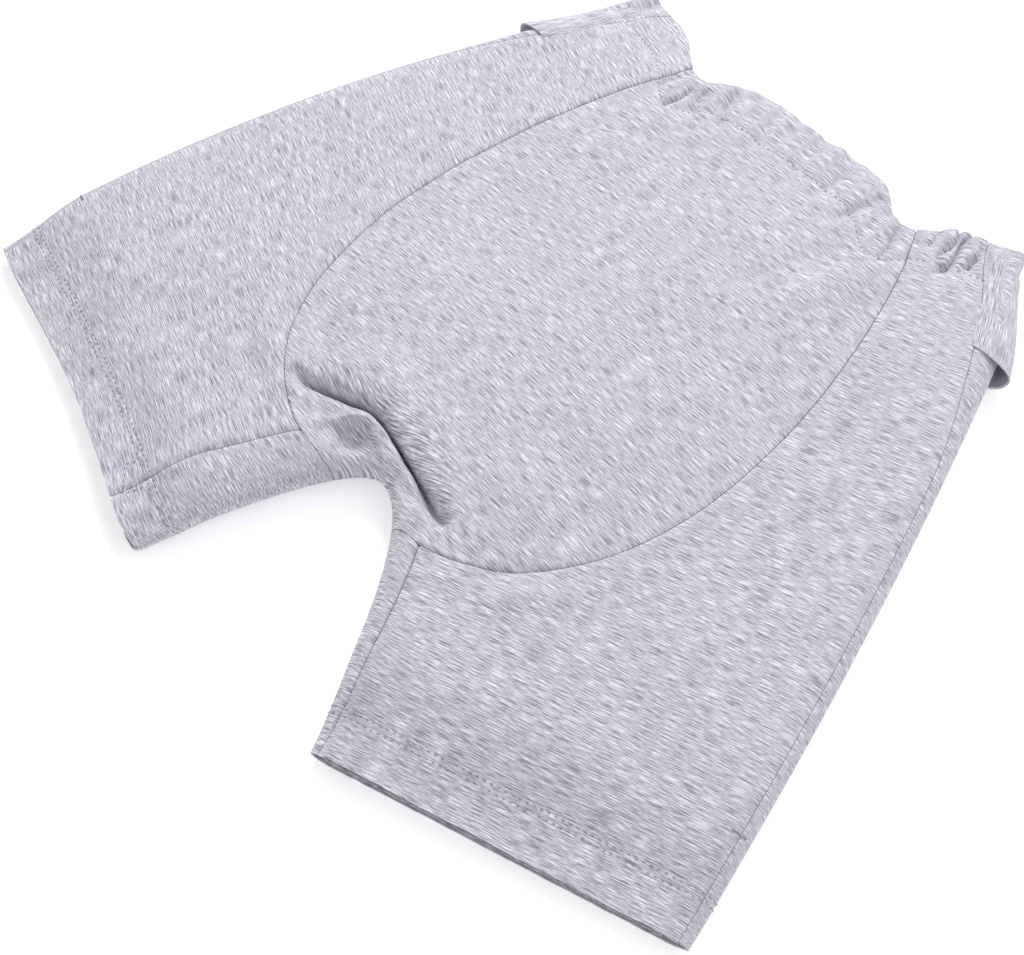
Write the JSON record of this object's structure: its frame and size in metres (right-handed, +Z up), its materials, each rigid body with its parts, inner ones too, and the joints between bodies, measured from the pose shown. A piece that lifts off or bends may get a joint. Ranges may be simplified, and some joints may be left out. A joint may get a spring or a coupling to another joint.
{
  "type": "padded impact shorts",
  "caption": "Close-fitting jersey under-shorts with a curved front panel, gathered elastic waist, side pull loops, and foam hip and tail pads that slide out of inner pockets, lying flat",
  "frame": {"origin": "under the middle of the bounding box, on the surface the shorts lie on", "axes": "+X to the wearer's left, +Y to the waist, +Z up; the front of the shorts faces up"},
  "size_m": [0.5815, 0.5139, 0.0336],
  "materials": {
    "heather_jersey": "matte heather knit with fine streaks across",
    "lining_knit": "matte light knit",
    "elastic_webbing": "ribbed woven elastic",
    "foam": "matte closed-cell foam",
    "sewing_thread": "twisted thread"
  },
  "bodies": {
    "garment": {"front_saddle_panel": "heather_jersey", "back_saddle_panel": "heather_jersey", "left_leg_front": "heather_jersey", "right_leg_front": "heather_jersey", "left_leg_back": "heather_jersey", "right_leg_back": "heather_jersey", "left_hem_facing": "heather_jersey", "right_hem_facing": "heather_jersey", "waist_casing": "heather_jersey", "waist_elastic": "elastic_webbing", "left_pull_loop": "heather_jersey", "right_pull_loop": "heather_jersey", "tail_pad_pocket": "lining_knit", "left_hip_pad_pocket": "lining_knit", "right_hip_pad_pocket": "lining_knit", "left_bar_tack": "sewing_thread", "right_bar_tack": "sewing_thread"},
    "left_hip_pad": {"left_hip_pad": "foam"},
    "right_hip_pad": {"right_hip_pad": "foam"},
    "tail_pad": {"tail_pad": "foam"}
  },
  "joints": [
    {"name": "left_hip_pad_slide", "type": "slide", "parent": "garment", "child": "left_hip_pad", "axis": [-0.2164, 0.9763, 0], "range_m": [0, 0.445]},
    {"name": "right_hip_pad_slide", "type": "slide", "parent": "garment", "child": "right_hip_pad", "axis": [0.2164, 0.9763, 0], "range_m": [0, 0.445]},
    {"name": "tail_pad_slide", "type": "slide", "parent": "garment", "child": "tail_pad", "axis": [0, 1, 0], "range_m": [0, 0.325]}
  ]
}
